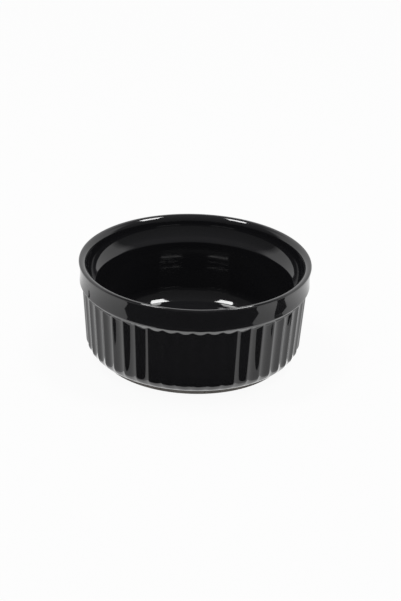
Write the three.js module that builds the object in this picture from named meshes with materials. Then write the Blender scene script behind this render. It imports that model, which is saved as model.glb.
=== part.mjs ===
// Fluted stoneware sauce bowl with a collared rim, in millimetres, +Z up.
// The origin is the centre of the circle that the foot ring stands on.
// The bowl is one fired clay body, one glaze coat over it and one glazed patch under the base.

import * as THREE from 'three';
import { mergeVertices } from 'three/addons/utils/BufferGeometryUtils.js';

// Overall sizes, measured over the glaze
const RIM_DIAMETER = 90;
const HEIGHT = 39.5;

// Lip: a small rounding outside the crown, a larger one inside it and a drafted wall below
const LIP_OUTER_RADIUS = 0.65;
const LIP_INNER_RADIUS = 2.35;
const LIP_DRAFT = THREE.MathUtils.degToRad(6);

// Collar round the rim: a hollow face between the rounded lip and a lower bead, cut back underneath
const WAIST_DROP = 6;
const WAIST_INSET = 0.55;
const COLLAR_HEIGHT = 8.4;
const BEAD_RADIUS = 0.6;
const UNDERCUT_ANGLE = THREE.MathUtils.degToRad(33);
const COLLAR_STEP = 0.9;

// Tapered wall and its flutes
const WALL_TAPER = THREE.MathUtils.degToRad(4.6);
const WALL_THICKNESS = 5.4;
const FLUTE_COUNT = 48;
const FLUTE_DEPTH = 0.6;
const FLUTE_END_ANGLE = THREE.MathUtils.degToRad(45);

// Rounded lower edge, foot ring and the recess under the base
const BASE_ROUNDING = 5.6;
const FOOT_HEIGHT = 2.15;
const FOOT_SETBACK = 0.15;
const FOOT_RING_WIDTH = 3.2;
const FOOT_CHAMFER = 0.3;
const BASE_RECESS = 1.8;

// Inside, below the lip: hollow shoulder, ledge edge, tapered wall, floor
const SHOULDER_DROP = 2.9;
const SHOULDER_SWEEP = THREE.MathUtils.degToRad(50);
const LEDGE_EDGE_RADIUS = 0.9;
const INNER_TAPER = THREE.MathUtils.degToRad(4);
const FLOOR_FILLET = 6.5;
const FLOOR_THICKNESS = 4.1;

// Glaze: even over the plain faces, thicker where it pooled in the flutes
const GLAZE_THICKNESS = 0.4;
const GLAZE_POOLING = 0.15;
const GLAZE_LINE_ANGLE = THREE.MathUtils.degToRad(85);
const BASE_GLAZE_CLEARANCE = 0.5;

// Facets: plain rings have one column for each flute, fluted rings have several
const COLUMNS_PER_FLUTE = 4;
const FINE_STEPS = { bead: 3, face: 4, brim: 1, lip: 3, innerLip: 4, shoulder: 4, edge: 2, floor: 4 };
const COARSE_STEPS = { bead: 2, face: 3, brim: 1, lip: 2, innerLip: 3, shoulder: 3, edge: 2, floor: 3 };
const FLUTE_END_STEPS = 3;
const BASE_STEPS = 2;

const HALF_TURN = Math.PI;
const QUARTER_TURN = Math.PI / 2;

// The outline is drawn in the plane of x, the distance from the axis, and y, the height.
const point = (x, y) => new THREE.Vector2(x, y);
const polar = (centre, radius, angle) =>
  point(centre.x + radius * Math.cos(angle), centre.y + radius * Math.sin(angle));

// Centres of the outline's arcs, shared by the glazed surface and by the clay surface under it
function outlineCentres() {
  const lip = point(RIM_DIAMETER / 2 - LIP_OUTER_RADIUS, HEIGHT - LIP_OUTER_RADIUS);
  const innerLip = point(lip.x, HEIGHT - LIP_INNER_RADIUS);

  // The collar's hollow face is narrowest at its waist and touches the lip above and the bead below.
  const waist = point(RIM_DIAMETER / 2 - WAIST_INSET, HEIGHT - WAIST_DROP);
  const toWaist = waist.clone().sub(lip);
  const faceRadius = (toWaist.lengthSq() - LIP_OUTER_RADIUS ** 2) / (2 * (LIP_OUTER_RADIUS - toWaist.x));
  const face = point(waist.x + faceRadius, waist.y);
  const beadHeight = HEIGHT - COLLAR_HEIGHT;
  const beadRun = Math.sqrt((faceRadius + BEAD_RADIUS) ** 2 - (waist.y - beadHeight) ** 2);
  const bead = point(face.x - beadRun, beadHeight);

  // The wall's line is known by its outward normal and its distance from the origin.
  const wallNormal = point(Math.cos(WALL_TAPER), -Math.sin(WALL_TAPER));
  const wallTop = point(bead.x + BEAD_RADIUS - COLLAR_STEP, bead.y);
  const wallDistance = wallTop.dot(wallNormal);

  // The rounded lower edge touches the wall's line and stands the foot's height above the table.
  const roundingHeight = FOOT_HEIGHT + BASE_ROUNDING;
  const rounding = point(
    (wallDistance - BASE_ROUNDING - roundingHeight * wallNormal.y) / wallNormal.x,
    roundingHeight,
  );

  // Inside, the lip's drafted wall bends into the shoulder, whose radius follows from how far
  // the wall stands in from there.
  const lipFoot = polar(innerLip, LIP_INNER_RADIUS, HALF_TURN - LIP_DRAFT);
  const fall = lipFoot.y - HEIGHT + SHOULDER_DROP;
  const shoulderStart = point(lipFoot.x - fall * Math.tan(LIP_DRAFT), lipFoot.y - fall);
  const wallInside = wallTop.x - WALL_THICKNESS;
  const edgeRun = LEDGE_EDGE_RADIUS * (Math.cos(INNER_TAPER) - Math.cos(SHOULDER_SWEEP));
  const turnRun = Math.cos(LIP_DRAFT) - Math.cos(SHOULDER_SWEEP);
  const shoulderRadius = (shoulderStart.x - wallInside - edgeRun) / turnRun;
  const shoulder = polar(shoulderStart, shoulderRadius, HALF_TURN - LIP_DRAFT);
  const edge = polar(shoulder, shoulderRadius + LEDGE_EDGE_RADIUS, -SHOULDER_SWEEP);

  // The floor's fillet touches the tapered inner wall and the floor.
  const floorHeight = BASE_RECESS - GLAZE_THICKNESS + FLOOR_THICKNESS;
  const innerNormal = point(-Math.cos(INNER_TAPER), Math.sin(INNER_TAPER));
  const innerDistance = edge.dot(innerNormal) + LEDGE_EDGE_RADIUS;
  const floorCentreHeight = floorHeight + FLOOR_FILLET;
  const floor = point(
    (innerDistance + FLOOR_FILLET - floorCentreHeight * innerNormal.y) / innerNormal.x,
    floorCentreHeight,
  );
  return {
    lip, innerLip, face, faceRadius, bead, wallNormal, wallDistance, rounding,
    shoulder, shoulderRadius, edge, floor, floorHeight,
  };
}

const centres = outlineCentres();

// A ring of points round the axis. Between the ridges it moves towards its place in a flute's middle.
function ring(ridge, columns = FLUTE_COUNT, middle = ridge) {
  const count = ridge.x === 0 ? 1 : columns;
  return Array.from({ length: count }, (unused, column) => {
    const turn = (2 * HALF_TURN * column) / count;
    const place = ridge.clone().lerp(middle, (1 - Math.cos(FLUTE_COUNT * turn)) / 2);
    return new THREE.Vector3(place.x * Math.cos(turn), place.x * Math.sin(turn), place.y);
  });
}

const plainRings = (positions) => positions.map((position) => ring(position));

// Points along an arc, both ends included
function arc(centre, radius, from, to, steps) {
  return Array.from({ length: steps + 1 }, (unused, step) =>
    polar(centre, radius, from + ((to - from) * step) / steps));
}

// Share of the full flute depth, which grows like the run-in of a round-nosed tool
const fluteShare = (progress) => Math.sin(progress * QUARTER_TURN);

// Where the collar's cut-back underside meets a line that runs down the wall
function undersideMeets(start, wallLineDistance) {
  const along = point(-Math.sin(UNDERCUT_ANGLE), -Math.cos(UNDERCUT_ANGLE));
  const gap = wallLineDistance - start.dot(centres.wallNormal);
  return start.clone().addScaledVector(along, gap / along.dot(centres.wallNormal));
}

// Fluted rings, from the run-out on the rounded lower edge to the arched tops under the collar
function fluteRings(inset, depth, undersideStart) {
  const columns = FLUTE_COUNT * COLUMNS_PER_FLUTE;
  const rings = [];
  for (let step = 1; step <= FLUTE_END_STEPS; step += 1) {
    const progress = step / FLUTE_END_STEPS;
    const angle = THREE.MathUtils.lerp(-FLUTE_END_ANGLE, -WALL_TAPER, progress);
    const ridge = polar(centres.rounding, BASE_ROUNDING - inset, angle);
    const middle = point(ridge.x - depth * fluteShare(progress), ridge.y);
    rings.push(ring(ridge, columns, middle));
  }
  const ridgeLine = centres.wallDistance - inset;
  const middleLine = ridgeLine - depth * centres.wallNormal.x;
  const ridgeTop = undersideMeets(undersideStart, ridgeLine);
  rings.push(ring(ridgeTop, columns, undersideMeets(undersideStart, middleLine)));
  return rings;
}

// All rings of one skin, from the glaze line over the rim to the middle of the floor.
// An inset of zero gives the glazed surface, the glaze's thickness gives the clay under it.
function skinRings(inset, fluteDepth, steps) {
  const { lip, innerLip, face, faceRadius, bead, rounding, shoulder, shoulderRadius, edge, floor } = centres;
  const lowerEdge = arc(rounding, BASE_ROUNDING - inset, -GLAZE_LINE_ANGLE, -FLUTE_END_ANGLE, BASE_STEPS);
  const faceFrom = bead.clone().sub(face).angle();
  const faceTo = lip.clone().sub(face).angle();
  const beadArc = arc(bead, BEAD_RADIUS - inset, -UNDERCUT_ANGLE, faceFrom - HALF_TURN, steps.bead);
  const outerRadius = LIP_OUTER_RADIUS - inset;
  const innerRadius = LIP_INNER_RADIUS - inset;
  const draftEnd = HALF_TURN - LIP_DRAFT;
  const edgeFrom = HALF_TURN - SHOULDER_SWEEP;
  const edgeTo = HALF_TURN - INNER_TAPER;
  return [
    ...plainRings(lowerEdge),
    ...fluteRings(inset, fluteDepth, beadArc[0]),
    ...plainRings(beadArc),
    ...plainRings(arc(face, faceRadius + inset, faceFrom, faceTo, steps.face).slice(1)),
    ...plainRings(arc(lip, outerRadius, faceTo - HALF_TURN, 0, steps.brim).slice(1)),
    ...plainRings(arc(lip, outerRadius, 0, QUARTER_TURN, steps.lip).slice(1)),
    ...plainRings(arc(innerLip, innerRadius, QUARTER_TURN, draftEnd, steps.innerLip).slice(1)),
    ...plainRings(arc(shoulder, shoulderRadius + inset, -LIP_DRAFT, -SHOULDER_SWEEP, steps.shoulder)),
    ...plainRings(arc(edge, LEDGE_EDGE_RADIUS - inset, edgeFrom, edgeTo, steps.edge).slice(1)),
    ...plainRings(arc(floor, FLOOR_FILLET + inset, -INNER_TAPER, -QUARTER_TURN, steps.floor)),
    ring(point(0, centres.floorHeight - inset)),
  ];
}

// Triangles between two rings, stepping along whichever ring lags behind.
function stitch(lower, upper) {
  const triangles = [];
  let low = 0;
  let high = 0;
  while (low < lower.length || high < upper.length) {
    const lowHere = lower[low % lower.length];
    const highHere = upper[high % upper.length];
    const stepLow = (low + 0.5) / lower.length <= (high + 0.5) / upper.length;
    if (stepLow) {
      low += 1;
      if (lower.length > 1) triangles.push([lowHere, lower[low % lower.length], highHere]);
    } else {
      high += 1;
      if (upper.length > 1) triangles.push([lowHere, upper[high % upper.length], highHere]);
    }
  }
  return triangles;
}

const skin = (rings) => rings.slice(1).flatMap((upper, index) => stitch(rings[index], upper));

const turnedInsideOut = (triangles) => triangles.map(([a, b, c]) => [a, c, b]);

function subPart(name, triangles, material) {
  const loose = new THREE.BufferGeometry().setFromPoints(triangles.flat());
  const geometry = mergeVertices(loose);
  geometry.computeVertexNormals();
  const mesh = new THREE.Mesh(geometry, material);
  mesh.name = name;
  return mesh;
}

// The glazed surface and the clay surface under it
const glazedRings = skinRings(0, FLUTE_DEPTH, FINE_STEPS);
const clayRings = skinRings(GLAZE_THICKNESS, FLUTE_DEPTH + GLAZE_POOLING, COARSE_STEPS);
const claySkin = skin(clayRings);

// Underside of the clay: recess, foot ring and the bare strip up to the glaze line
const footOutside = centres.rounding.x - FOOT_SETBACK;
const footInside = footOutside - FOOT_RING_WIDTH;
const footTop = FOOT_HEIGHT + GLAZE_THICKNESS;
const undersideRings = plainRings([
  point(0, BASE_RECESS),
  point(footInside, BASE_RECESS),
  point(footInside, FOOT_CHAMFER),
  point(footInside + FOOT_CHAMFER, 0),
  point(footOutside - FOOT_CHAMFER, 0),
  point(footOutside, FOOT_CHAMFER),
  point(footOutside, footTop),
]);

const stonewareBody = subPart(
  'stoneware_body',
  [...skin([...undersideRings, clayRings[0]]), ...claySkin],
  new THREE.MeshStandardMaterial({ color: 0x6a6764, roughness: 0.9, metalness: 0 }),
);

const glazeEdge = stitch(clayRings[0], glazedRings[0]);
const glazeCoat = subPart(
  'glaze_coat',
  [...glazeEdge, ...skin(glazedRings), ...turnedInsideOut(claySkin)],
  new THREE.MeshStandardMaterial({ color: 0x0d0d0e, roughness: 0.08, metalness: 0 }),
);

// Glazed patch in the recess, which lies against the clay and stays clear of the foot ring
const baseGlazeRadius = footInside - BASE_GLAZE_CLEARANCE;
const baseGlazeRings = plainRings([
  point(0, BASE_RECESS - GLAZE_THICKNESS),
  point(baseGlazeRadius - GLAZE_THICKNESS / 2, BASE_RECESS - GLAZE_THICKNESS),
  point(baseGlazeRadius, BASE_RECESS - GLAZE_THICKNESS / 2),
  point(baseGlazeRadius, BASE_RECESS),
  point(0, BASE_RECESS),
]);
const baseGlaze = subPart(
  'base_glaze',
  skin(baseGlazeRings),
  new THREE.MeshStandardMaterial({ color: 0x111112, roughness: 0.15, metalness: 0 }),
);

const sauceBowl = new THREE.Group();
sauceBowl.name = 'sauce_bowl';
sauceBowl.add(stonewareBody, glazeCoat, baseGlaze);

export default sauceBowl;
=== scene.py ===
"""Fluted stoneware sauce bowl: fine meshes, finishes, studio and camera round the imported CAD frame.

Lengths of the bowl are written in millimetres, as a potter measures them, and become metres
where a mesh is made. Angles are written in degrees.
"""

from __future__ import annotations

import logging
import math
from dataclasses import dataclass, field
from enum import Enum

import bmesh
import bpy
import numpy as np
from mathutils import Matrix, Vector


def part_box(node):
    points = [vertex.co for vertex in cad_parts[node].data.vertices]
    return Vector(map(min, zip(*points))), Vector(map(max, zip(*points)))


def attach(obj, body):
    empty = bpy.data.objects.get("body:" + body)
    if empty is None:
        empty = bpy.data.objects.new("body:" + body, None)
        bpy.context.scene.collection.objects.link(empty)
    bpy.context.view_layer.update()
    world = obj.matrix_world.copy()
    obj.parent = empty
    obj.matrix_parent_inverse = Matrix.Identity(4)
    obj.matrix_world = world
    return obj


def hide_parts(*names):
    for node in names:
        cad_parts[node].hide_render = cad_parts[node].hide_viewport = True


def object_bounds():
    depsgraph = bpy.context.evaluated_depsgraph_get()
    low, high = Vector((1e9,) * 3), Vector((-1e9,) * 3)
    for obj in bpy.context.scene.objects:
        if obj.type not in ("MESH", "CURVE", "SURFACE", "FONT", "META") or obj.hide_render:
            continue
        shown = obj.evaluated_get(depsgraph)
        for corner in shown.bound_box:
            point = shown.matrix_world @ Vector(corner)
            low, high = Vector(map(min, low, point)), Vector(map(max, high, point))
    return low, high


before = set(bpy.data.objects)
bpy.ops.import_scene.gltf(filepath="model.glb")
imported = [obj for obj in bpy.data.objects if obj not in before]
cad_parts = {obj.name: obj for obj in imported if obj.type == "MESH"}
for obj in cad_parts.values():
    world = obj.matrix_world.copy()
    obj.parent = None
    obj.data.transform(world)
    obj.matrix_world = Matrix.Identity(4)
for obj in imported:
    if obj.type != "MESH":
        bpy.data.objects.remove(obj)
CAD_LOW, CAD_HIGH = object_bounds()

LOG = logging.getLogger("sauce_bowl")

MM = 0.001
BODY = "root"

# Flutes, and the steps that the rows and columns of the meshes take
FLUTE_COUNT = 48
COLUMNS_PER_FLUTE = 10
ROW_TURN = math.radians(8.0)
CORNER_STEPS = 4
BEAD_STEPS = 5
FACE_STEPS = 7

# Rounding of a ridge as a share of half a flute, and how strongly columns move towards the ridges
RIDGE_SOFTNESS = 0.12
RIDGE_GATHERING = 0.5

# Corners closer than this, in metres, are one corner, and levels alike to these digits are one level
SAME_PLACE = 0.5e-6
LEVEL_DIGITS = 4

Corners = tuple[tuple[float, float], ...]
Direction = tuple[float, float, float]


class Slot(Enum):
    """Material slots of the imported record."""

    BARE_STONEWARE = "bare_stoneware"
    BLACK_GLAZE = "black_glaze"
    BASE_GLAZE = "base_glaze"


class Seen(Enum):
    """Kinds of rays that a stage object is there for."""

    BY_ALL = "all"
    BY_REFLECTIONS = "reflections"


# Outline of the bowl


@dataclass(frozen=True)
class Row:
    """One ring of the outline, in millimetres.

    The ring has this radius and height at the ridges, and moves by the sink in a flute's middle.
    """

    radius: float
    height: float
    sink_in: float = 0.0
    sink_down: float = 0.0


def polar(centre: Vector, radius: float, angle: float) -> Vector:
    """Point at an angle on a circle in the plane of the outline."""
    return centre + radius * Vector((math.cos(angle), math.sin(angle)))


def arc(centre: Vector, radius: float, start: float, end: float, least: int = 2) -> list[Vector]:
    """Points along an arc of the outline, both ends included.

    Args:
        centre: Centre as distance from the axis and height.
        radius: Radius of the arc.
        start: Angle of the first point in radians.
        end: Angle of the last point in radians.
        least: Fewest steps that the arc may have.

    Returns:
        The points from start to end.
    """
    steps = max(least, math.ceil(abs(end - start) / ROW_TURN))
    return [polar(centre, radius, start + (end - start) * step / steps) for step in range(steps + 1)]


def plain(points: list[Vector]) -> list[Row]:
    """Rows that the flutes leave alone."""
    return [Row(point.x, point.y) for point in points]


def heading(start: Vector, end: Vector) -> float:
    """Angle of the line from one point of the outline to another, in radians."""
    return math.atan2(end.y - start.y, end.x - start.x)


@dataclass(frozen=True)
class BowlOutline:
    """Half section of the bowl, with the sizes that drive it."""

    rim_diameter: float
    height: float
    lip_outer: float = 0.65
    lip_inner: float = 2.35
    lip_draft: float = math.radians(6.0)
    waist_drop: float = 6.0
    waist_inset: float = 0.55
    collar_height: float = 8.4
    bead_radius: float = 0.6
    undercut: float = math.radians(33.0)
    collar_step: float = 0.9
    corner_radius: float = 0.8
    wall_taper: float = math.radians(4.6)
    wall_thickness: float = 5.4
    flute_end: float = math.radians(45.0)
    flute_shelter: float = 2.0
    base_rounding: float = 5.6
    foot_height: float = 2.15
    foot_setback: float = 0.15
    foot_width: float = 3.2
    foot_rounding: float = 0.3
    base_recess: float = 1.8
    shoulder_drop: float = 2.9
    shoulder_sweep: float = math.radians(50.0)
    ledge_radius: float = 0.9
    inner_taper: float = math.radians(4.0)
    floor_fillet: float = 6.5
    floor_thickness: float = 4.1
    glaze: float = 0.4
    glaze_line: float = math.radians(85.0)
    floor_rings: tuple[float, ...] = (0.6, 0.25, 0)
    recess_rings: tuple[float, ...] = (0, 0.4, 1)

    @property
    def lip(self) -> Vector:
        """Centre of the lip's small outer rounding."""
        return Vector((self.rim_diameter / 2 - self.lip_outer, self.height - self.lip_outer))

    @property
    def inner_lip(self) -> Vector:
        """Centre of the lip's larger inner rounding, under the same crown."""
        return Vector((self.lip.x, self.height - self.lip_inner))

    @property
    def face_radius(self) -> float:
        """Radius of the collar's hollow face, which touches the lip."""
        waist = Vector((self.rim_diameter / 2 - self.waist_inset, self.height - self.waist_drop))
        to_waist = waist - self.lip
        return (to_waist.length_squared - self.lip_outer**2) / (2 * (self.lip_outer - to_waist.x))

    @property
    def face(self) -> Vector:
        """Centre of the collar's hollow face, outside the bowl."""
        waist_radius = self.rim_diameter / 2 - self.waist_inset
        return Vector((waist_radius + self.face_radius, self.height - self.waist_drop))

    @property
    def bead(self) -> Vector:
        """Centre of the bead along the collar's lower edge."""
        drop = self.collar_height - self.waist_drop
        run = math.sqrt((self.face_radius + self.bead_radius) ** 2 - drop**2)
        return Vector((self.face.x - run, self.height - self.collar_height))

    @property
    def wall_out(self) -> Vector:
        """Outward normal of the tapered wall."""
        return Vector((math.cos(self.wall_taper), -math.sin(self.wall_taper)))

    @property
    def wall_distance(self) -> float:
        """Distance of the wall's line from the origin, along its normal."""
        top = Vector((self.bead.x + self.bead_radius - self.collar_step, self.bead.y))
        return top.dot(self.wall_out)

    @property
    def rounding(self) -> Vector:
        """Centre of the rounded lower edge, which touches the wall."""
        height = self.foot_height + self.base_rounding
        reach = self.wall_distance - self.base_rounding - height * self.wall_out.y
        return Vector((reach / self.wall_out.x, height))

    @property
    def shoulder_start(self) -> Vector:
        """Where the drafted wall inside the lip bends into the hollow shoulder."""
        leaving = polar(self.inner_lip, self.lip_inner, math.pi - self.lip_draft)
        fall = leaving.y - self.height + self.shoulder_drop
        return leaving - Vector((fall * math.tan(self.lip_draft), fall))

    @property
    def shoulder_radius(self) -> float:
        """Radius of the hollow shoulder, from how far the wall stands in from the lip."""
        wall_inside = self.bead.x + self.bead_radius - self.collar_step - self.wall_thickness
        edge_run = self.ledge_radius * (math.cos(self.inner_taper) - math.cos(self.shoulder_sweep))
        turn_run = math.cos(self.lip_draft) - math.cos(self.shoulder_sweep)
        return (self.shoulder_start.x - wall_inside - edge_run) / turn_run

    @property
    def shoulder(self) -> Vector:
        """Centre of the hollow shoulder inside the rim."""
        return polar(self.shoulder_start, self.shoulder_radius, math.pi - self.lip_draft)

    @property
    def ledge(self) -> Vector:
        """Centre of the ledge's rounded edge under the shoulder."""
        return polar(self.shoulder, self.shoulder_radius + self.ledge_radius, -self.shoulder_sweep)

    @property
    def floor_height(self) -> float:
        """Height of the glazed floor inside."""
        return self.base_recess - self.glaze + self.floor_thickness

    @property
    def floor_curve(self) -> Vector:
        """Centre of the curve between the inner wall and the floor."""
        inward = Vector((-math.cos(self.inner_taper), math.sin(self.inner_taper)))
        distance = self.ledge.dot(inward) + self.ledge_radius + self.floor_fillet
        height = self.floor_height + self.floor_fillet
        return Vector(((distance - height * inward.y) / inward.x, height))

    @property
    def foot_outside(self) -> float:
        """Outer radius of the foot ring."""
        return self.rounding.x - self.foot_setback

    @property
    def foot_inside(self) -> float:
        """Inner radius of the foot ring."""
        return self.foot_outside - self.foot_width

    def underside_meets(self, start: Vector, wall_line: float) -> Vector:
        """Where the collar's cut-back underside meets a line that runs down the wall.

        Args:
            start: Point where the underside leaves the bead.
            wall_line: Distance of the line from the origin, along the wall's normal.

        Returns:
            The meeting point in the plane of the outline.
        """
        along = Vector((-math.sin(self.undercut), -math.cos(self.undercut)))
        return start + along * ((wall_line - start.dot(self.wall_out)) / along.dot(self.wall_out))

    def lower_edge_rows(self, inset: float, depth: float) -> list[Row]:
        """Rows of the rounded lower edge, where the flutes run out.

        Args:
            inset: How far the skin lies under the glazed surface.
            depth: Full depth of the flutes.

        Returns:
            Rows from the glaze line up to the foot of the wall.
        """
        radius = self.base_rounding - inset
        below = plain(arc(self.rounding, radius, -self.glaze_line, -self.flute_end))
        rows = []
        for point in arc(self.rounding, radius, -self.flute_end, -self.wall_taper)[1:]:
            turned = heading(self.rounding, point) + self.flute_end
            progress = turned / (self.flute_end - self.wall_taper)
            rows.append(Row(point.x, point.y, -depth * math.sin(progress * math.pi / 2)))
        return below + rows

    def flute_top_rows(self, inset: float, depth: float) -> list[Row]:
        """Rows of the wall and of the arched flute tops against the collar's underside.

        Args:
            inset: How far the skin lies under the glazed surface.
            depth: Full depth of the flutes.

        Returns:
            Rows from the middle of the wall up to the bead.
        """
        start = polar(self.bead, self.bead_radius - inset, -self.undercut)
        ridge_line = self.wall_distance - inset
        ridge_top = self.underside_meets(start, ridge_line)
        sink = self.underside_meets(start, ridge_line - depth * self.wall_out.x) - ridge_top

        wall_down = Vector((-math.sin(self.wall_taper), -math.cos(self.wall_taper)))
        wall_length = (ridge_top.y - self.rounding.y) / -wall_down.y
        lengths = (wall_length / 2, self.flute_shelter - sink.y)
        rows = []
        for length in lengths:
            point = ridge_top + wall_down * length
            rows.append(Row(point.x, point.y, -depth))

        radius = self.corner_radius + inset
        tangent = radius * math.tan((self.undercut - self.wall_taper) / 2)
        corner = ridge_top + wall_down * tangent + self.wall_out * radius
        bend = arc(corner, radius, math.pi - self.wall_taper, math.pi - self.undercut, CORNER_STEPS)
        rows += [Row(point.x, point.y, sink.x, sink.y) for point in bend]
        for share in (2 / 3, 1 / 3):
            point = start.lerp(bend[-1], share)
            rows.append(Row(point.x, point.y, sink.x * share, sink.y * share))
        return rows

    def skin_rows(self, inset: float, depth: float) -> list[Row]:
        """Rows of one whole skin, from the glaze line over the rim to the middle of the floor.

        Args:
            inset: Zero for the glazed surface, the glaze's thickness for the clay under it.
            depth: Full depth of the flutes.

        Returns:
            The rows in order.
        """
        face_from = heading(self.face, self.bead) % (2 * math.pi)
        face_to = heading(self.face, self.lip) % (2 * math.pi)
        bead_to = face_from - math.pi
        bead = arc(self.bead, self.bead_radius - inset, -self.undercut, bead_to, BEAD_STEPS)
        face = arc(self.face, self.face_radius + inset, face_from, face_to, FACE_STEPS)[1:]
        lip = arc(self.lip, self.lip_outer - inset, face_to - math.pi, math.pi / 2)[1:]
        lip += arc(self.inner_lip, self.lip_inner - inset, math.pi / 2, math.pi - self.lip_draft)[1:]
        hollow = self.shoulder_radius + inset
        shoulder = arc(self.shoulder, hollow, -self.lip_draft, -self.shoulder_sweep)
        ledge_from = math.pi - self.shoulder_sweep
        ledge = arc(self.ledge, self.ledge_radius - inset, ledge_from, math.pi - self.inner_taper)[1:]
        curve = arc(self.floor_curve, self.floor_fillet + inset, -self.inner_taper, -math.pi / 2)
        floor = [Vector((curve[-1].x * share, curve[-1].y)) for share in self.floor_rings]
        return [
            *self.lower_edge_rows(inset, depth),
            *self.flute_top_rows(inset, depth),
            *plain(bead + face + lip + shoulder + ledge + curve + floor),
        ]

    def underside_rows(self) -> list[Row]:
        """Rows of the bare clay, from the recess round the foot ring up to the glaze line."""
        rounding = self.foot_rounding
        inner = Vector((self.foot_inside + rounding, rounding))
        outer = Vector((self.foot_outside - rounding, rounding))
        recess = [Vector((self.foot_inside * share, self.base_recess)) for share in self.recess_rings]
        ring = arc(inner, rounding, math.pi, math.pi * 1.5)
        ring += arc(outer, rounding, math.pi * 1.5, math.pi * 2)
        top = [Vector((self.foot_outside, self.foot_height + self.glaze))]
        return plain(recess + ring + top)


# Modelling by operators


def deselect_all() -> None:
    """Leaves object mode with nothing selected, so that an operator acts on the new piece alone."""
    if bpy.context.object and bpy.context.object.mode != "OBJECT":
        bpy.ops.object.mode_set(mode="OBJECT")
    bpy.ops.object.select_all(action="DESELECT")


def draw_outline(name: str, rows: list[Row]) -> bpy.types.Object:
    """Draws the half section as a chain of edges, by extruding one corner from row to row.

    Args:
        name: Name of the new piece.
        rows: The rows in order.

    Returns:
        The new object, left in edit mode.
    """
    deselect_all()
    first = Vector((rows[0].radius, 0, rows[0].height)) * MM
    bpy.ops.mesh.primitive_plane_add(size=MM, location=first)
    piece = bpy.context.object
    piece.name = name
    piece.data.name = name
    bpy.ops.object.transform_apply(location=True, rotation=True, scale=True)
    bpy.ops.object.mode_set(mode="EDIT")
    bpy.ops.mesh.select_mode(type="VERT")
    bpy.ops.mesh.select_all(action="SELECT")
    bpy.ops.mesh.merge(type="CENTER")
    for before, after in zip(rows, rows[1:]):
        step = ((after.radius - before.radius) * MM, 0, (after.height - before.height) * MM)
        bpy.ops.mesh.extrude_vertices_move(TRANSFORM_OT_translate={"value": step})
    return piece


def turn_on_wheel(piece: bpy.types.Object, columns: int) -> None:
    """Spins the drawn outline once round the axis and closes the seam and the poles.

    Args:
        piece: Object in edit mode that holds the outline.
        columns: Steps round the axis.
    """
    bpy.ops.mesh.select_all(action="SELECT")
    bpy.ops.mesh.spin(steps=columns, angle=2 * math.pi, center=(0, 0, 0), axis=(0, 0, 1))
    bpy.ops.mesh.select_all(action="SELECT")
    bpy.ops.mesh.remove_doubles(threshold=SAME_PLACE)
    bpy.ops.mesh.select_all(action="SELECT")
    bpy.ops.mesh.normals_make_consistent(inside=False)
    bpy.ops.object.mode_set(mode="OBJECT")
    LOG.debug("%s has %d corners", piece.name, len(piece.data.vertices))


def corner_places(piece: bpy.types.Object) -> tuple[np.ndarray, np.ndarray, np.ndarray]:
    """Cylinder coordinates of every corner of a mesh.

    Args:
        piece: Object in object mode.

    Returns:
        Radii and heights in metres and turns in radians.
    """
    places = np.empty(len(piece.data.vertices) * 3)
    piece.data.vertices.foreach_get("co", places)
    x, y, z = places.reshape(-1, 3).T
    return np.hypot(x, y), z, np.arctan2(y, x)


def flute_level(turns: np.ndarray) -> np.ndarray:
    """How deep in a flute a direction lies: 0 on a ridge and 1 in a flute's middle.

    The flutes are round channels, so the ridges that stay between them are narrow.

    Args:
        turns: Directions round the axis in radians.

    Returns:
        One level for each direction.
    """
    flutes = FLUTE_COUNT * turns / (2 * math.pi)
    from_ridge = 2 * abs(flutes - np.rint(flutes))
    eased = np.hypot(from_ridge, RIDGE_SOFTNESS) - RIDGE_SOFTNESS
    return 1 - (1 - eased / (math.hypot(1, RIDGE_SOFTNESS) - RIDGE_SOFTNESS)) ** 2


def gather_columns(piece: bpy.types.Object) -> None:
    """Moves the columns of a turned mesh nearer to the ridges, where the flutes bend most.

    Args:
        piece: Object in object mode.
    """
    turns = corner_places(piece)[2]
    steps = np.rint(turns / (2 * math.pi) * FLUTE_COUNT * COLUMNS_PER_FLUTE).astype(int)
    places = steps % COLUMNS_PER_FLUTE
    bpy.ops.object.mode_set(mode="EDIT")
    shape = bmesh.from_edit_mesh(piece.data)
    shape.verts.ensure_lookup_table()
    for column in range(1, COLUMNS_PER_FLUTE):
        bpy.ops.mesh.select_all(action="DESELECT")
        for index in np.flatnonzero(places == column):
            shape.verts[index].select_set(True)
        swing = math.sin(2 * math.pi * column / COLUMNS_PER_FLUTE)
        bpy.ops.transform.rotate(
            value=RIDGE_GATHERING * swing / FLUTE_COUNT,
            orient_axis="Z",
            center_override=(0, 0, 0),
        )
    bpy.ops.object.mode_set(mode="OBJECT")


def press_flutes(piece: bpy.types.Object, rows: list[Row]) -> None:
    """Presses the flutes into the turned wall, one row and one depth at a time.

    Args:
        piece: Object in object mode, turned from the rows.
        rows: The rows that it was turned from.
    """
    radii, heights, turns = corner_places(piece)
    levels = flute_level(turns).round(LEVEL_DIGITS)
    bpy.ops.object.mode_set(mode="EDIT")
    shape = bmesh.from_edit_mesh(piece.data)
    shape.verts.ensure_lookup_table()
    for row in (row for row in rows if row.sink_in):
        at_radius = abs(radii - row.radius * MM) < SAME_PLACE
        here = at_radius & (abs(heights - row.height * MM) < SAME_PLACE)
        for level in np.unique(levels[here & (levels > 0)]):
            bpy.ops.mesh.select_all(action="DESELECT")
            for index in np.flatnonzero(here & (levels == level)):
                shape.verts[index].select_set(True)
            narrow = 1 + row.sink_in * level / row.radius
            bpy.ops.transform.resize(value=(narrow, narrow, 1), center_override=(0, 0, 0))
            if row.sink_down:
                bpy.ops.transform.translate(value=(0, 0, row.sink_down * level * MM))
    bpy.ops.object.mode_set(mode="OBJECT")


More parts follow.
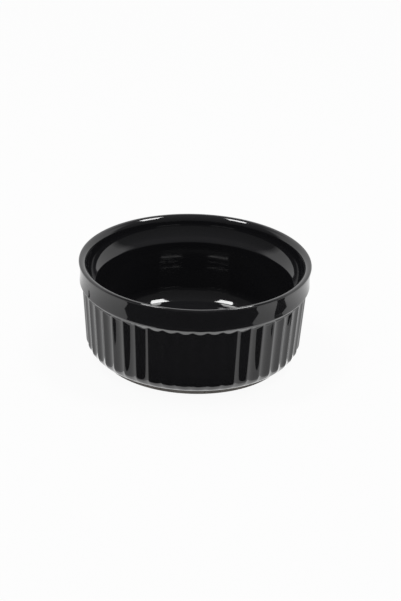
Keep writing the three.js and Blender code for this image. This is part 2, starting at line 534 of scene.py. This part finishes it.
def face_outwards(piece: bpy.types.Object) -> None:
    """Turns an open skin right side out, by the face that stands furthest from the axis."""
    polygons = piece.data.polygons
    widest = max(polygons, key=lambda polygon: polygon.center.xy.length)
    if widest.normal.xy.dot(widest.center.xy) < 0:
        bpy.ops.object.mode_set(mode="EDIT")
        bpy.ops.mesh.select_all(action="SELECT")
        bpy.ops.mesh.flip_normals()
        bpy.ops.object.mode_set(mode="OBJECT")


def thicken_inwards(piece: bpy.types.Object, thickness: float) -> None:
    """Gives an open skin an even thickness behind its face.

    Args:
        piece: Object in object mode.
        thickness: Thickness in millimetres.
    """
    bpy.ops.object.modifier_add(type="SOLIDIFY")
    solidify = piece.modifiers[-1]
    solidify.thickness = thickness * MM
    solidify.offset = -1
    solidify.use_even_offset = True
    bpy.ops.object.modifier_apply(modifier=solidify.name)


# Materials


def linear(code: str) -> tuple[float, float, float, float]:
    """Linear colour of an sRGB hex value.

    Args:
        code: Six hex digits after a hash mark.

    Returns:
        Red, green, blue and an alpha of one.
    """
    parts = [int(code[place : place + 2], 16) / 255 for place in (1, 3, 5)]
    red, green, blue = (
        part / 12.92 if part <= 0.04045 else ((part + 0.055) / 1.055) ** 2.4 for part in parts
    )
    return red, green, blue, 1.0


def add_node(
    tree: bpy.types.NodeTree,
    kind: str,
    sockets: dict[str | int, object] | None = None,
    **settings: object,
) -> bpy.types.Node:
    """Adds a node, with its settings, its constants and its links.

    Args:
        tree: Node tree that gets the node.
        kind: Type name of the node.
        sockets: For each input, a constant or the output socket that feeds it.
        **settings: Properties of the node.

    Returns:
        The new node.
    """
    node = tree.nodes.new(kind)
    for name, value in settings.items():
        setattr(node, name, value)
    for name, value in (sockets or {}).items():
        if isinstance(value, bpy.types.NodeSocket):
            tree.links.new(value, node.inputs[name])
        else:
            node.inputs[name].default_value = value
    return node


def new_material(name: str) -> bpy.types.Material:
    """Empty node material."""
    material = bpy.data.materials.new(name)
    material.use_nodes = True
    material.node_tree.nodes.clear()
    return material


# Places of sockets whose names repeat on their node
COLOR_A = 6
COLOR_B = 7
COLOR_OUT = 2
FROM_LOW = 1
FROM_HIGH = 2
TO_LOW = 3
TO_HIGH = 4


def per_metre(size: float) -> float:
    """Texture scale at which one feature is this many millimetres across."""
    return 1 / (size * MM)


@dataclass(frozen=True)
class GlossGlaze:
    """Black stoneware glaze, dipped and fired until it flowed.

    A molten coat sets to glass: it mirrors the lamps sharply, but its surface keeps a slow
    waviness, it is blacker where it pooled, and a little of the dark clay shows through where it
    ran thin on ridges and edges.
    """

    name: str = "Black stoneware glaze, dipped and fired glossy"
    pooled: str = "#19191b"
    thin: str = "#232224"
    refraction: float = 1.53
    roughness: tuple[float, float] = (0.035, 0.075)
    wave_size: float = 7.0
    wave_depth: float = 0.012
    peel_size: float = 0.9
    peel_depth: float = 0.0003
    cloud_size: float = 4.0
    cloud_span: tuple[float, float] = (0.3, 0.7)
    pinhole_spacing: float = 5.5
    pinhole_radius: float = 0.16
    pinhole_depth: float = 0.05
    pinhole_strength: float = 0.3
    thin_layer: str = "glaze_thin"

    def make(self) -> bpy.types.Material:
        """Builds the node material."""
        material = new_material(self.name)
        tree = material.node_tree
        place = add_node(tree, "ShaderNodeTexCoord").outputs["Object"]
        thin = add_node(tree, "ShaderNodeAttribute", attribute_name=self.thin_layer).outputs["Fac"]
        cloud = add_node(
            tree,
            "ShaderNodeTexNoise",
            {"Vector": place, "Scale": per_metre(self.cloud_size), "Detail": 3.0, "Roughness": 0.55},
        ).outputs["Fac"]
        patchy = add_node(
            tree, "ShaderNodeMath", {0: thin, 1: cloud}, operation="MULTIPLY"
        ).outputs[0]
        colour = add_node(
            tree,
            "ShaderNodeMix",
            {0: patchy, COLOR_A: linear(self.pooled), COLOR_B: linear(self.thin)},
            data_type="RGBA",
        ).outputs[COLOR_OUT]
        gloss = add_node(
            tree,
            "ShaderNodeMapRange",
            {
                "Value": cloud,
                FROM_LOW: self.cloud_span[0],
                FROM_HIGH: self.cloud_span[1],
                TO_LOW: self.roughness[0],
                TO_HIGH: self.roughness[1],
            },
        ).outputs[0]
        wave = add_node(
            tree,
            "ShaderNodeTexNoise",
            {"Vector": place, "Scale": per_metre(self.wave_size), "Detail": 1.0, "Roughness": 0.4},
        ).outputs["Fac"]
        peel = add_node(
            tree,
            "ShaderNodeTexNoise",
            {"Vector": place, "Scale": per_metre(self.peel_size), "Detail": 1.0, "Roughness": 0.5},
        ).outputs["Fac"]
        cell = add_node(
            tree,
            "ShaderNodeTexVoronoi",
            {"Vector": place, "Scale": per_metre(self.pinhole_spacing)},
        )
        # A pinhole is drawn coarser than a real one, which would be too fine to show.
        hole_edge = self.pinhole_radius / self.pinhole_spacing
        hole = add_node(
            tree,
            "ShaderNodeMapRange",
            {
                "Value": cell.outputs["Distance"],
                FROM_LOW: 0.0,
                FROM_HIGH: hole_edge,
                TO_LOW: 0.0,
                TO_HIGH: 1.0,
            },
        ).outputs[0]
        waved = add_node(
            tree,
            "ShaderNodeBump",
            {"Strength": 1.0, "Distance": self.wave_depth * MM, "Height": wave},
        ).outputs[0]
        peeled = add_node(
            tree,
            "ShaderNodeBump",
            {"Strength": 1.0, "Distance": self.peel_depth * MM, "Height": peel, "Normal": waved},
        ).outputs[0]
        pitted = add_node(
            tree,
            "ShaderNodeBump",
            {
                "Strength": self.pinhole_strength,
                "Distance": self.pinhole_depth * MM,
                "Height": hole,
                "Normal": peeled,
            },
        ).outputs[0]
        shader = add_node(
            tree,
            "ShaderNodeBsdfPrincipled",
            {"Base Color": colour, "Roughness": gloss, "IOR": self.refraction, "Normal": pitted},
        )
        add_node(tree, "ShaderNodeOutputMaterial", {"Surface": shader.outputs[0]})
        return material


@dataclass(frozen=True)
class BareStoneware:
    """Fired stoneware clay, wiped free of glaze on the foot.

    Bare clay is matt and grey. Coarse grog shows as pale and dark grains, and the grinding of the
    foot leaves it slightly rough.
    """

    name: str = "Grey stoneware clay, fired bare and ground on the foot"
    body: str = "#85817d"
    pale: str = "#a39e98"
    dark: str = "#5a5652"
    refraction: float = 1.5
    roughness: tuple[float, float] = (0.8, 0.95)
    cloud_size: float = 6.0
    pale_span: tuple[float, float] = (0.35, 0.75)
    pale_most: float = 0.8
    grain_size: float = 0.6
    grain_span: tuple[float, float] = (0.3, 0.7)
    grain_depth: float = 0.05
    grain_strength: float = 0.7
    dark_span: tuple[float, float] = (0.58, 0.72)
    dark_most: float = 0.85

    def make(self) -> bpy.types.Material:
        """Builds the node material."""
        material = new_material(self.name)
        tree = material.node_tree
        place = add_node(tree, "ShaderNodeTexCoord").outputs["Object"]
        cloud = add_node(
            tree,
            "ShaderNodeTexNoise",
            {"Vector": place, "Scale": per_metre(self.cloud_size), "Detail": 4.0},
        ).outputs["Fac"]
        grain = add_node(
            tree,
            "ShaderNodeTexNoise",
            {"Vector": place, "Scale": per_metre(self.grain_size), "Detail": 2.0},
        ).outputs["Fac"]
        pale_share = add_node(
            tree,
            "ShaderNodeMapRange",
            {
                "Value": cloud,
                FROM_LOW: self.pale_span[0],
                FROM_HIGH: self.pale_span[1],
                TO_LOW: 0.0,
                TO_HIGH: self.pale_most,
            },
        ).outputs[0]
        dark_share = add_node(
            tree,
            "ShaderNodeMapRange",
            {
                "Value": grain,
                FROM_LOW: self.dark_span[0],
                FROM_HIGH: self.dark_span[1],
                TO_LOW: 0.0,
                TO_HIGH: self.dark_most,
            },
        ).outputs[0]
        ground = add_node(
            tree,
            "ShaderNodeMix",
            {0: pale_share, COLOR_A: linear(self.body), COLOR_B: linear(self.pale)},
            data_type="RGBA",
        ).outputs[COLOR_OUT]
        colour = add_node(
            tree,
            "ShaderNodeMix",
            {0: dark_share, COLOR_A: ground, COLOR_B: linear(self.dark)},
            data_type="RGBA",
        ).outputs[COLOR_OUT]
        matt = add_node(
            tree,
            "ShaderNodeMapRange",
            {
                "Value": grain,
                FROM_LOW: self.grain_span[0],
                FROM_HIGH: self.grain_span[1],
                TO_LOW: self.roughness[0],
                TO_HIGH: self.roughness[1],
            },
        ).outputs[0]
        bump = add_node(
            tree,
            "ShaderNodeBump",
            {"Strength": self.grain_strength, "Distance": self.grain_depth * MM, "Height": grain},
        ).outputs[0]
        shader = add_node(
            tree,
            "ShaderNodeBsdfPrincipled",
            {"Base Color": colour, "Roughness": matt, "IOR": self.refraction, "Normal": bump},
        )
        add_node(tree, "ShaderNodeOutputMaterial", {"Surface": shader.outputs[0]})
        return material


def looking_ray(tree: bpy.types.NodeTree) -> bpy.types.NodeSocket:
    """Output that is one for rays from the camera, off gloss or through glass.

    Args:
        tree: Node tree that gets the nodes.

    Returns:
        The output socket.
    """
    path = add_node(tree, "ShaderNodeLightPath").outputs
    second_hand = add_node(
        tree,
        "ShaderNodeMath",
        {0: path["Is Glossy Ray"], 1: path["Is Transmission Ray"]},
        operation="MAXIMUM",
    ).outputs[0]
    looking = add_node(
        tree, "ShaderNodeMath", {0: path["Is Camera Ray"], 1: second_hand}, operation="MAXIMUM"
    )
    return looking.outputs[0]


@dataclass(frozen=True)
class StagePaper:
    """Matt paper of one colour, as a studio table is covered with.

    The camera and the gloss see it whiter than it is by the backlit share, as on a light table, and
    its glow is painted light: the paper gives off light though it is no lamp.
    """

    name: str
    colour: str
    backlit: float = 0.0
    glow: float = 0.0

    def make(self) -> bpy.types.Material:
        """Builds the node material."""
        material = new_material(self.name)
        tree = material.node_tree
        paper = add_node(tree, "ShaderNodeBsdfDiffuse", {"Color": linear(self.colour)}).outputs[0]
        # Painted light: an emission that makes the paper glow, though it is no lamp.
        painted_glow = add_node(tree, "ShaderNodeEmission", {"Strength": self.glow}).outputs[0]
        glowing = add_node(tree, "ShaderNodeAddShader", {0: paper, 1: painted_glow}).outputs[0]
        white = add_node(tree, "ShaderNodeEmission", {"Strength": 1.0}).outputs[0]
        share = add_node(
            tree, "ShaderNodeMath", {0: looking_ray(tree), 1: self.backlit}, operation="MULTIPLY"
        ).outputs[0]
        mixed = add_node(tree, "ShaderNodeMixShader", {0: share, 1: glowing, 2: white})
        add_node(tree, "ShaderNodeOutputMaterial", {"Surface": mixed.outputs[0]})
        return material


# Pieces of the bowl


def finish_piece(piece: bpy.types.Object, material: bpy.types.Material, node: str) -> None:
    """Dresses a finished piece and sets it in the place of its CAD node.

    Args:
        piece: The finished mesh object.
        material: Its finish.
        node: CAD node that it stands for.
    """
    piece.data.materials.clear()
    piece.data.materials.append(material)
    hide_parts(node)
    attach(piece, BODY)


@dataclass
class GlazeSkin:
    """The unbroken coat of glaze from the glaze line over the rim to the floor inside."""

    outline: BowlOutline
    flute_depth: float = 0.6
    edge_share: float = 0.75
    ridge_share: float = 0.5
    ridge_narrowing: int = 3
    ridge_stop: float = 1.0
    finish: GlossGlaze = field(default_factory=GlossGlaze)
    name: str = "black_glaze_skin"
    node: str = "glaze_coat"

    def build(self) -> bpy.types.Object:
        """Turns the glazed surface, presses the flutes and gives the coat its thickness."""
        rows = self.outline.skin_rows(0.0, self.flute_depth)
        piece = draw_outline(self.name, rows)
        turn_on_wheel(piece, FLUTE_COUNT * COLUMNS_PER_FLUTE)
        face_outwards(piece)
        gather_columns(piece)
        press_flutes(piece, rows)
        self.mark_thin_glaze(piece)
        thicken_inwards(piece, self.outline.glaze)
        bpy.ops.object.shade_smooth()
        return piece

    def mark_thin_glaze(self, piece: bpy.types.Object) -> None:
        """Marks where the glaze ran thin: the top of the lip, the bead and the ridges.

        Args:
            piece: The skin, before it has a thickness.
        """
        radii, heights, turns = corner_places(piece)
        outline = self.outline
        outside = radii > outline.ledge.x * MM
        on_lip = np.clip((heights - outline.inner_lip.y * MM) / (outline.lip_inner * MM), 0, 1) ** 2
        from_bead = abs(heights - outline.bead.y * MM) / (outline.bead_radius * MM)
        on_bead = np.clip(1 - from_bead, 0, 1) * outside
        ridge_top = outline.bead.y - self.ridge_stop
        on_wall = (heights > outline.rounding.y * MM) & (heights < ridge_top * MM) & outside
        on_ridge = on_wall * (1 - flute_level(turns)) ** self.ridge_narrowing
        thin = np.maximum(self.edge_share * np.maximum(on_lip, on_bead), self.ridge_share * on_ridge)
        layer = piece.data.attributes.new(self.finish.thin_layer, "FLOAT", "POINT")
        layer.data.foreach_set("value", thin.astype(np.float32))

    def dress(self, piece: bpy.types.Object) -> None:
        """Gives the coat its finish and its place in the frame."""
        finish_piece(piece, self.finish.make(), self.node)


@dataclass
class ClayBody:
    """The fired clay under the glaze, bare only on its foot ring."""

    outline: BowlOutline
    flute_depth: float = 0.75
    sharp_edge: float = math.radians(50.0)
    finish: BareStoneware = field(default_factory=BareStoneware)
    name: str = "stoneware_clay"
    node: str = "stoneware_body"

    def build(self) -> bpy.types.Object:
        """Turns the clay with its foot ring and presses the flutes."""
        outline = self.outline
        rows = outline.underside_rows() + outline.skin_rows(outline.glaze, self.flute_depth)
        piece = draw_outline(self.name, rows)
        turn_on_wheel(piece, FLUTE_COUNT * COLUMNS_PER_FLUTE)
        gather_columns(piece)
        press_flutes(piece, rows)
        bpy.ops.object.shade_smooth_by_angle(angle=self.sharp_edge)
        return piece

    def dress(self, piece: bpy.types.Object) -> None:
        """Gives the clay its finish and its place in the frame."""
        finish_piece(piece, self.finish.make(), self.node)


@dataclass
class BaseGlazePatch:
    """The patch of glaze in the recess under the base."""

    outline: BowlOutline
    clearance: float = 0.5
    columns: int = 192
    rings: tuple[float, ...] = (0, 0.3, 0.65)
    sharp_edge: float = math.radians(50.0)
    finish: GlossGlaze = field(
        default_factory=lambda: GlossGlaze(
            name="Black stoneware glaze, brushed on under the base",
            pooled="#0d0d0f",
            roughness=(0.1, 0.22),
            wave_depth=0.03,
        )
    )
    name: str = "base_glaze_patch"
    node: str = "base_glaze"

    def build(self) -> bpy.types.Object:
        """Turns the thin disc with its rounded lower edge."""
        outline = self.outline
        reach = outline.foot_inside - self.clearance
        low = outline.base_recess - outline.glaze
        edge = outline.glaze / 2
        rounded = arc(Vector((reach - edge, low + edge)), edge, -math.pi / 2, 0)
        flat = [Vector((reach * share, low)) for share in self.rings]
        back_rings = (1, *reversed(self.rings))
        back = [Vector((reach * share, outline.base_recess)) for share in back_rings]
        piece = draw_outline(self.name, plain(flat + rounded + back))
        turn_on_wheel(piece, self.columns)
        bpy.ops.object.shade_smooth_by_angle(angle=self.sharp_edge)
        return piece

    def dress(self, piece: bpy.types.Object) -> None:
        """Gives the patch its finish and its place in the frame."""
        finish_piece(piece, self.finish.make(), self.node)


# Studio and camera


@dataclass(frozen=True)
class SoftBox:
    """One soft lamp over the bowl, known by the directions in which the ends of its long side stand.

    Its width and its distance from the bowl are in metres.
    """

    name: str
    high_end: Direction
    low_end: Direction
    width: float
    brightness: float
    distance: float = 0.9

    def hang(self) -> bpy.types.Object:
        """Hangs the lamp so that it faces the bowl."""
        high = Vector(self.high_end).normalized()
        low = Vector(self.low_end).normalized()
        away = (high + low).normalized()
        along = (high - low).normalized()
        length = (high - low).length * self.distance
        lamp = bpy.data.lights.new(self.name, "AREA")
        lamp.shape = "RECTANGLE"
        lamp.size = self.width
        lamp.size_y = length
        lamp.energy = self.brightness * math.pi * self.width * length
        holder = bpy.data.objects.new(self.name, lamp)
        bpy.context.scene.collection.objects.link(holder)
        turn = Matrix((along.cross(away), along, away)).transposed()
        holder.matrix_world = Matrix.Translation(away * self.distance) @ turn.to_4x4()
        return holder


@dataclass(frozen=True)
class StageCard:
    """A flat card that lies on the table, with its corners in order round its edge."""

    name: str
    corners: list[tuple[float, float]]
    lift: float
    paper: StagePaper
    seen: Seen = Seen.BY_ALL

    def lay(self) -> bpy.types.Object:
        """Lays the card down and marks it as stage."""
        deselect_all()
        bpy.ops.mesh.primitive_circle_add(
            vertices=len(self.corners), fill_type="NGON", location=(0, 0, 0)
        )
        card = bpy.context.object
        card.name = self.name
        height = CAD_LOW.z + self.lift * MM
        for vertex, (x, y) in zip(card.data.vertices, self.corners):
            vertex.co = (x * MM, y * MM, height)
        finish_stage(card, self.paper, self.seen)
        return card


def finish_stage(thing: bpy.types.Object, paper: StagePaper, seen: Seen) -> None:
    """Covers a stage object with its paper and sets which rays meet it.

    Args:
        thing: The flat mesh object.
        paper: Its paper.
        seen: Kinds of rays that it is there for.
    """
    thing.data.materials.append(paper.make())
    # Stage seen only by reflections paints light or shade into the glaze: no camera sees it, it casts
    # no shadow and lights nothing.
    if seen is Seen.BY_REFLECTIONS:
        thing.visible_camera = False
        thing.visible_diffuse = False
        thing.visible_shadow = False


@dataclass(frozen=True)
class Studio:
    """White table, two soft lamps overhead and a white backdrop behind the bowl.

    Dark cards are painted shade and the glowing mat is painted light: they lie on the table, only
    reflections in the glaze show them, and they cast no shadow and light nothing.
    """

    table_half: float = 4000.0
    table_paper: StagePaper = StagePaper("White studio paper, matt", "#c8c8c8", backlit=0.94)
    # Painted light: a mat that glows above white, seen only in reflections in the glaze.
    glow_mat_paper: StagePaper = StagePaper("White mat, painted glow for reflections only", "#f4f4f4", glow=1.3)
    # Painted shade: a dark paper for cards that only reflections show, darkening what the glaze
    # mirrors.
    shade_card_paper: StagePaper = StagePaper("Dark card, painted shade for reflections only", "#363636")
    front_edge: Corners = (
        (900, -1200),
        (95, -81),
        (75, -54),
        (0, -35),
        (-70, -48),
        (-80, -50),
        (-101, -68),
        (-900, -1050),
    )
    # Painted shade: dark flags beside the bowl, seen only in reflections, standing in for shade on the
    # table.
    right_shade_flag: Corners = (
        (74, -21),
        (97, -33),
        (112, -38),
        (112, -20),
        (99, -7),
        (74, -13),
    )
    left_shade_flag: Corners = ((-90, 25), (-116, 23), (-116, 29), (-90, 28))
    mat_radius: float = 43.8
    mat_corners: int = 96
    card_lift: float = 0.2
    mat_lift: float = 0.3
    right_lamp: tuple[Direction, Direction] = ((0.265, 0.263, 0.928), (0.453, -0.093, 0.886))
    left_lamp: tuple[Direction, Direction] = ((-0.255, 0.181, 0.950), (-0.417, -0.155, 0.896))
    lamp_width: float = 0.16
    lamp_brightness: float = 18.5
    fill: float = 0.5
    backdrop: float = 1.0
    backdrop_sides: tuple[float, float] = (0.0, 0.2)
    backdrop_top: tuple[float, float] = (0.65, 0.85)
    dark_side: float = 0.12

    def table(self) -> StageCard:
        """The white table."""
        half = self.table_half
        corners = [(-half, -half), (half, -half), (half, half), (-half, half)]
        return StageCard("table", corners, 0.0, self.table_paper)

    def front_shade_card(self) -> StageCard:
        """The dark card before the bowl, which narrows away from the bowl on both sides: painted shade
        on the table, seen only in reflections in the glaze.
        """
        return StageCard(
            "front_shade_card", list(self.front_edge), self.card_lift, self.shade_card_paper, Seen.BY_REFLECTIONS
        )

    def side_shade_flags(self) -> list[StageCard]:
        """The dark flags beside the bowl, a wide one on the right and a narrow one on the left: painted
        shade on the table, seen only in reflections in the glaze.
        """
        shapes = {"right_shade_flag": self.right_shade_flag, "left_shade_flag": self.left_shade_flag}
        return [
            StageCard(name, list(corners), self.card_lift, self.shade_card_paper, Seen.BY_REFLECTIONS)
            for name, corners in shapes.items()
        ]

    def mat(self) -> StageCard:
        """The round white mat that the bowl stands on: its glow, above white, is painted light that
        only reflections in the glaze show.
        """
        step = 2 * math.pi / self.mat_corners
        middle = Vector((0, 0))
        places = [polar(middle, self.mat_radius, step * corner) for corner in range(self.mat_corners)]
        corners = [(place.x, place.y) for place in places]
        return StageCard("mat", corners, self.mat_lift, self.glow_mat_paper, Seen.BY_REFLECTIONS)

    def lamps(self) -> list[SoftBox]:
        """The two lamps, right and left above the bowl."""
        ends = {"right_softbox": self.right_lamp, "left_softbox": self.left_lamp}
        return [
            SoftBox(name, high, low, self.lamp_width, self.lamp_brightness)
            for name, (high, low) in ends.items()
        ]

    def build(self) -> None:
        """Lays the table and cards, hangs the lamps and sets the world."""
        for card in (self.table(), self.front_shade_card(), *self.side_shade_flags(), self.mat()):
            card.lay()
        for lamp in self.lamps():
            lamp.hang()
        self.set_world()

    def set_world(self) -> None:
        """Sets the even fill light, and the white backdrop that the camera and the gloss see."""
        world = bpy.data.worlds.new("studio")
        world.use_nodes = True
        bpy.context.scene.world = world
        tree = world.node_tree
        tree.nodes.clear()
        direction = add_node(tree, "ShaderNodeTexCoord").outputs["Generated"]
        parts = add_node(tree, "ShaderNodeSeparateXYZ", {"Vector": direction})
        behind = add_node(
            tree,
            "ShaderNodeMapRange",
            {
                "Value": parts.outputs["Y"],
                FROM_LOW: self.backdrop_sides[0],
                FROM_HIGH: self.backdrop_sides[1],
                TO_LOW: 0.0,
                TO_HIGH: 1.0,
            },
        ).outputs[0]
        below_top = add_node(
            tree,
            "ShaderNodeMapRange",
            {
                "Value": parts.outputs["Z"],
                FROM_LOW: self.backdrop_top[0],
                FROM_HIGH: self.backdrop_top[1],
                TO_LOW: 1.0,
                TO_HIGH: 0.0,
            },
        ).outputs[0]
        share = add_node(
            tree, "ShaderNodeMath", {0: behind, 1: below_top}, operation="MULTIPLY"
        ).outputs[0]
        dark = (self.dark_side, self.dark_side, self.dark_side, 1.0)
        white = (self.backdrop, self.backdrop, self.backdrop, 1.0)
        mirrored = add_node(
            tree, "ShaderNodeMix", {0: share, COLOR_A: dark, COLOR_B: white}, data_type="RGBA"
        ).outputs[COLOR_OUT]
        from_camera = add_node(tree, "ShaderNodeLightPath").outputs["Is Camera Ray"]
        seen = add_node(
            tree, "ShaderNodeMix", {0: from_camera, COLOR_A: mirrored, COLOR_B: white}, data_type="RGBA"
        ).outputs[COLOR_OUT]
        filling = add_node(tree, "ShaderNodeBackground", {"Color": (1, 1, 1, 1), "Strength": self.fill})
        backdrop = add_node(tree, "ShaderNodeBackground", {"Color": seen, "Strength": 1.0})
        mixed = add_node(
            tree,
            "ShaderNodeMixShader",
            {0: looking_ray(tree), 1: filling.outputs[0], 2: backdrop.outputs[0]},
        )
        add_node(tree, "ShaderNodeOutputWorld", {"Surface": mixed.outputs[0]})


@dataclass(frozen=True)
class PhotoCamera:
    """Camera that looks down on the bowl from the front, as the photograph does.

    Its distance, aim and sensor are in millimetres.
    """

    elevation: float = math.radians(25.515)
    roll: float = math.radians(-1.873)
    distance: float = 1100.0
    aim_right: float = -3.148
    aim_down: float = 20.119
    focal_pixels: float = 2805.9
    image_long_side: int = 601
    sensor: float = 36.0

    def place(self) -> bpy.types.Object:
        """Makes the camera and sets it as the scene's own."""
        forward = Vector((0, math.cos(self.elevation), -math.sin(self.elevation)))
        level_right = Vector((1, 0, 0))
        level_down = forward.cross(level_right)
        right = level_right * math.cos(self.roll) + level_down * math.sin(self.roll)
        down = level_down * math.cos(self.roll) - level_right * math.sin(self.roll)
        eye = -(right * self.aim_right + down * self.aim_down + forward * self.distance) * MM
        lens = bpy.data.cameras.new("photo_camera")
        lens.sensor_width = self.sensor
        lens.lens = self.focal_pixels * self.sensor / self.image_long_side
        camera = bpy.data.objects.new("photo_camera", lens)
        bpy.context.scene.collection.objects.link(camera)
        turn = Matrix((right, -down, -forward)).transposed()
        camera.matrix_world = Matrix.Translation(eye) @ turn.to_4x4()
        bpy.context.scene.camera = camera
        return camera


def main() -> None:
    """Builds and dresses the bowl's pieces, then the studio and the camera."""
    logging.basicConfig(level=logging.INFO, format="%(name)s: %(message)s")
    bpy.context.scene.view_settings.view_transform = "Standard"
    glaze_low, glaze_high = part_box("glaze_coat")
    outline = BowlOutline(
        rim_diameter=(glaze_high[0] - glaze_low[0]) / MM,
        height=glaze_high[2] / MM,
    )
    for maker in (ClayBody(outline), GlazeSkin(outline), BaseGlazePatch(outline)):
        piece = maker.build()
        maker.dress(piece)
        LOG.info("%s stands for %s, %d faces", piece.name, maker.node, len(piece.data.polygons))
    Studio().build()
    PhotoCamera().place()


if __name__ == "__main__":
    main()
